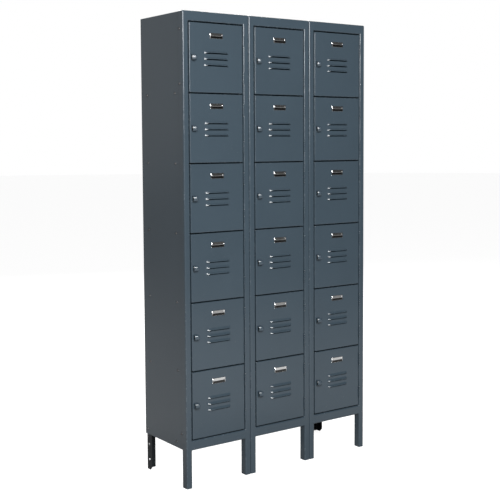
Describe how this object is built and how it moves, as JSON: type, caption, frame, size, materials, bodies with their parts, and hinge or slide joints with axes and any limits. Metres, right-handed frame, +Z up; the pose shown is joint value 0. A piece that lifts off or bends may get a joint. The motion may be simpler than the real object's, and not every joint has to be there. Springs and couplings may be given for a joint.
{
  "type": "locker cabinet",
  "caption": "Free-standing steel box locker cabinet with columns of small hinged louvred doors, fixed shelves, formed front frames that run down as legs, and steel angle legs at the rear.",
  "frame": {"origin": "on the floor, in the middle of the bounding box, door pulls included", "axes": "+Z up, doors face -Y, +X to the right of a person facing the doors"},
  "size_m": [0.9134, 0.3376, 1.8288],
  "materials": {
    "blue_grey_enamel": "satin blue-grey enamel with a faint orange peel",
    "leg_black_enamel": "satin near-black enamel",
    "number_plate_metal": "brushed, slightly scratched",
    "zinc_fixings": "zinc plated",
    "bumper_rubber": "matt"
  },
  "bodies": {
    "cabinet": {"front_frame_c1": "blue_grey_enamel", "front_frame_c2": "blue_grey_enamel", "front_frame_c3": "blue_grey_enamel", "side_panel_left": "blue_grey_enamel", "rear_flange_of_side_panel_left": "blue_grey_enamel", "partition_1": "blue_grey_enamel", "rear_flange_of_partition_1": "blue_grey_enamel", "partition_2": "blue_grey_enamel", "rear_flange_of_partition_2": "blue_grey_enamel", "side_panel_right": "blue_grey_enamel", "rear_flange_of_side_panel_right": "blue_grey_enamel", "back_panel_c1": "blue_grey_enamel", "top_panel_c1": "blue_grey_enamel", "floor_panel_c1": "blue_grey_enamel", "shelf_c1_t1": "blue_grey_enamel", "shelf_c1_t2": "blue_grey_enamel", "shelf_c1_t3": "blue_grey_enamel", "shelf_c1_t4": "blue_grey_enamel", "shelf_c1_t5": "blue_grey_enamel", "back_panel_c2": "blue_grey_enamel", "top_panel_c2": "blue_grey_enamel", "floor_panel_c2": "blue_grey_enamel", "shelf_c2_t1": "blue_grey_enamel", "shelf_c2_t2": "blue_grey_enamel", "shelf_c2_t3": "blue_grey_enamel", "shelf_c2_t4": "blue_grey_enamel", "shelf_c2_t5": "blue_grey_enamel", "back_panel_c3": "blue_grey_enamel", "top_panel_c3": "blue_grey_enamel", "floor_panel_c3": "blue_grey_enamel", "shelf_c3_t1": "blue_grey_enamel", "shelf_c3_t2": "blue_grey_enamel", "shelf_c3_t3": "blue_grey_enamel", "shelf_c3_t4": "blue_grey_enamel", "shelf_c3_t5": "blue_grey_enamel", "rear_leg_left": "leg_black_enamel", "rear_leg_right": "leg_black_enamel"},
    "door_c1_t1": {"door_c1_t1": "blue_grey_enamel"},
    "door_c1_t2": {"door_c1_t2": "blue_grey_enamel"},
    "door_c1_t3": {"door_c1_t3": "blue_grey_enamel"},
    "door_c1_t4": {"door_c1_t4": "blue_grey_enamel"},
    "door_c1_t5": {"door_c1_t5": "blue_grey_enamel"},
    "door_c1_t6": {"door_c1_t6": "blue_grey_enamel"},
    "door_c2_t1": {"door_c2_t1": "blue_grey_enamel"},
    "door_c2_t2": {"door_c2_t2": "blue_grey_enamel"},
    "door_c2_t3": {"door_c2_t3": "blue_grey_enamel"},
    "door_c2_t4": {"door_c2_t4": "blue_grey_enamel"},
    "door_c2_t5": {"door_c2_t5": "blue_grey_enamel"},
    "door_c2_t6": {"door_c2_t6": "blue_grey_enamel"},
    "door_c3_t1": {"door_c3_t1": "blue_grey_enamel"},
    "door_c3_t2": {"door_c3_t2": "blue_grey_enamel"},
    "door_c3_t3": {"door_c3_t3": "blue_grey_enamel"},
    "door_c3_t4": {"door_c3_t4": "blue_grey_enamel"},
    "door_c3_t5": {"door_c3_t5": "blue_grey_enamel"},
    "door_c3_t6": {"door_c3_t6": "blue_grey_enamel"}
  },
  "joints": [
    {"name": "door_c1_t1_hinge", "type": "hinge", "parent": "cabinet", "child": "door_c1_t1", "pos_m": [-0.1806, -0.15175, 1.65536], "axis": [0, 0, 1], "range_deg": [0, 110]},
    {"name": "door_c1_t2_hinge", "type": "hinge", "parent": "cabinet", "child": "door_c1_t2", "pos_m": [-0.1806, -0.15175, 1.38857], "axis": [0, 0, 1], "range_deg": [0, 110]},
    {"name": "door_c1_t3_hinge", "type": "hinge", "parent": "cabinet", "child": "door_c1_t3", "pos_m": [-0.1806, -0.15175, 1.12179], "axis": [0, 0, 1], "range_deg": [0, 110]},
    {"name": "door_c1_t4_hinge", "type": "hinge", "parent": "cabinet", "child": "door_c1_t4", "pos_m": [-0.1806, -0.15175, 0.85501], "axis": [0, 0, 1], "range_deg": [0, 110]},
    {"name": "door_c1_t5_hinge", "type": "hinge", "parent": "cabinet", "child": "door_c1_t5", "pos_m": [-0.1806, -0.15175, 0.58822], "axis": [0, 0, 1], "range_deg": [0, 110]},
    {"name": "door_c1_t6_hinge", "type": "hinge", "parent": "cabinet", "child": "door_c1_t6", "pos_m": [-0.1806, -0.15175, 0.32144], "axis": [0, 0, 1], "range_deg": [0, 110]},
    {"name": "door_c2_t1_hinge", "type": "hinge", "parent": "cabinet", "child": "door_c2_t1", "pos_m": [0.1242, -0.15175, 1.65536], "axis": [0, 0, 1], "range_deg": [0, 110]},
    {"name": "door_c2_t2_hinge", "type": "hinge", "parent": "cabinet", "child": "door_c2_t2", "pos_m": [0.1242, -0.15175, 1.38857], "axis": [0, 0, 1], "range_deg": [0, 110]},
    {"name": "door_c2_t3_hinge", "type": "hinge", "parent": "cabinet", "child": "door_c2_t3", "pos_m": [0.1242, -0.15175, 1.12179], "axis": [0, 0, 1], "range_deg": [0, 110]},
    {"name": "door_c2_t4_hinge", "type": "hinge", "parent": "cabinet", "child": "door_c2_t4", "pos_m": [0.1242, -0.15175, 0.85501], "axis": [0, 0, 1], "range_deg": [0, 110]},
    {"name": "door_c2_t5_hinge", "type": "hinge", "parent": "cabinet", "child": "door_c2_t5", "pos_m": [0.1242, -0.15175, 0.58822], "axis": [0, 0, 1], "range_deg": [0, 110]},
    {"name": "door_c2_t6_hinge", "type": "hinge", "parent": "cabinet", "child": "door_c2_t6", "pos_m": [0.1242, -0.15175, 0.32144], "axis": [0, 0, 1], "range_deg": [0, 110]},
    {"name": "door_c3_t1_hinge", "type": "hinge", "parent": "cabinet", "child": "door_c3_t1", "pos_m": [0.429, -0.15175, 1.65536], "axis": [0, 0, 1], "range_deg": [0, 110]},
    {"name": "door_c3_t2_hinge", "type": "hinge", "parent": "cabinet", "child": "door_c3_t2", "pos_m": [0.429, -0.15175, 1.38857], "axis": [0, 0, 1], "range_deg": [0, 110]},
    {"name": "door_c3_t3_hinge", "type": "hinge", "parent": "cabinet", "child": "door_c3_t3", "pos_m": [0.429, -0.15175, 1.12179], "axis": [0, 0, 1], "range_deg": [0, 110]},
    {"name": "door_c3_t4_hinge", "type": "hinge", "parent": "cabinet", "child": "door_c3_t4", "pos_m": [0.429, -0.15175, 0.85501], "axis": [0, 0, 1], "range_deg": [0, 110]},
    {"name": "door_c3_t5_hinge", "type": "hinge", "parent": "cabinet", "child": "door_c3_t5", "pos_m": [0.429, -0.15175, 0.58822], "axis": [0, 0, 1], "range_deg": [0, 110]},
    {"name": "door_c3_t6_hinge", "type": "hinge", "parent": "cabinet", "child": "door_c3_t6", "pos_m": [0.429, -0.15175, 0.32144], "axis": [0, 0, 1], "range_deg": [0, 110]}
  ]
}
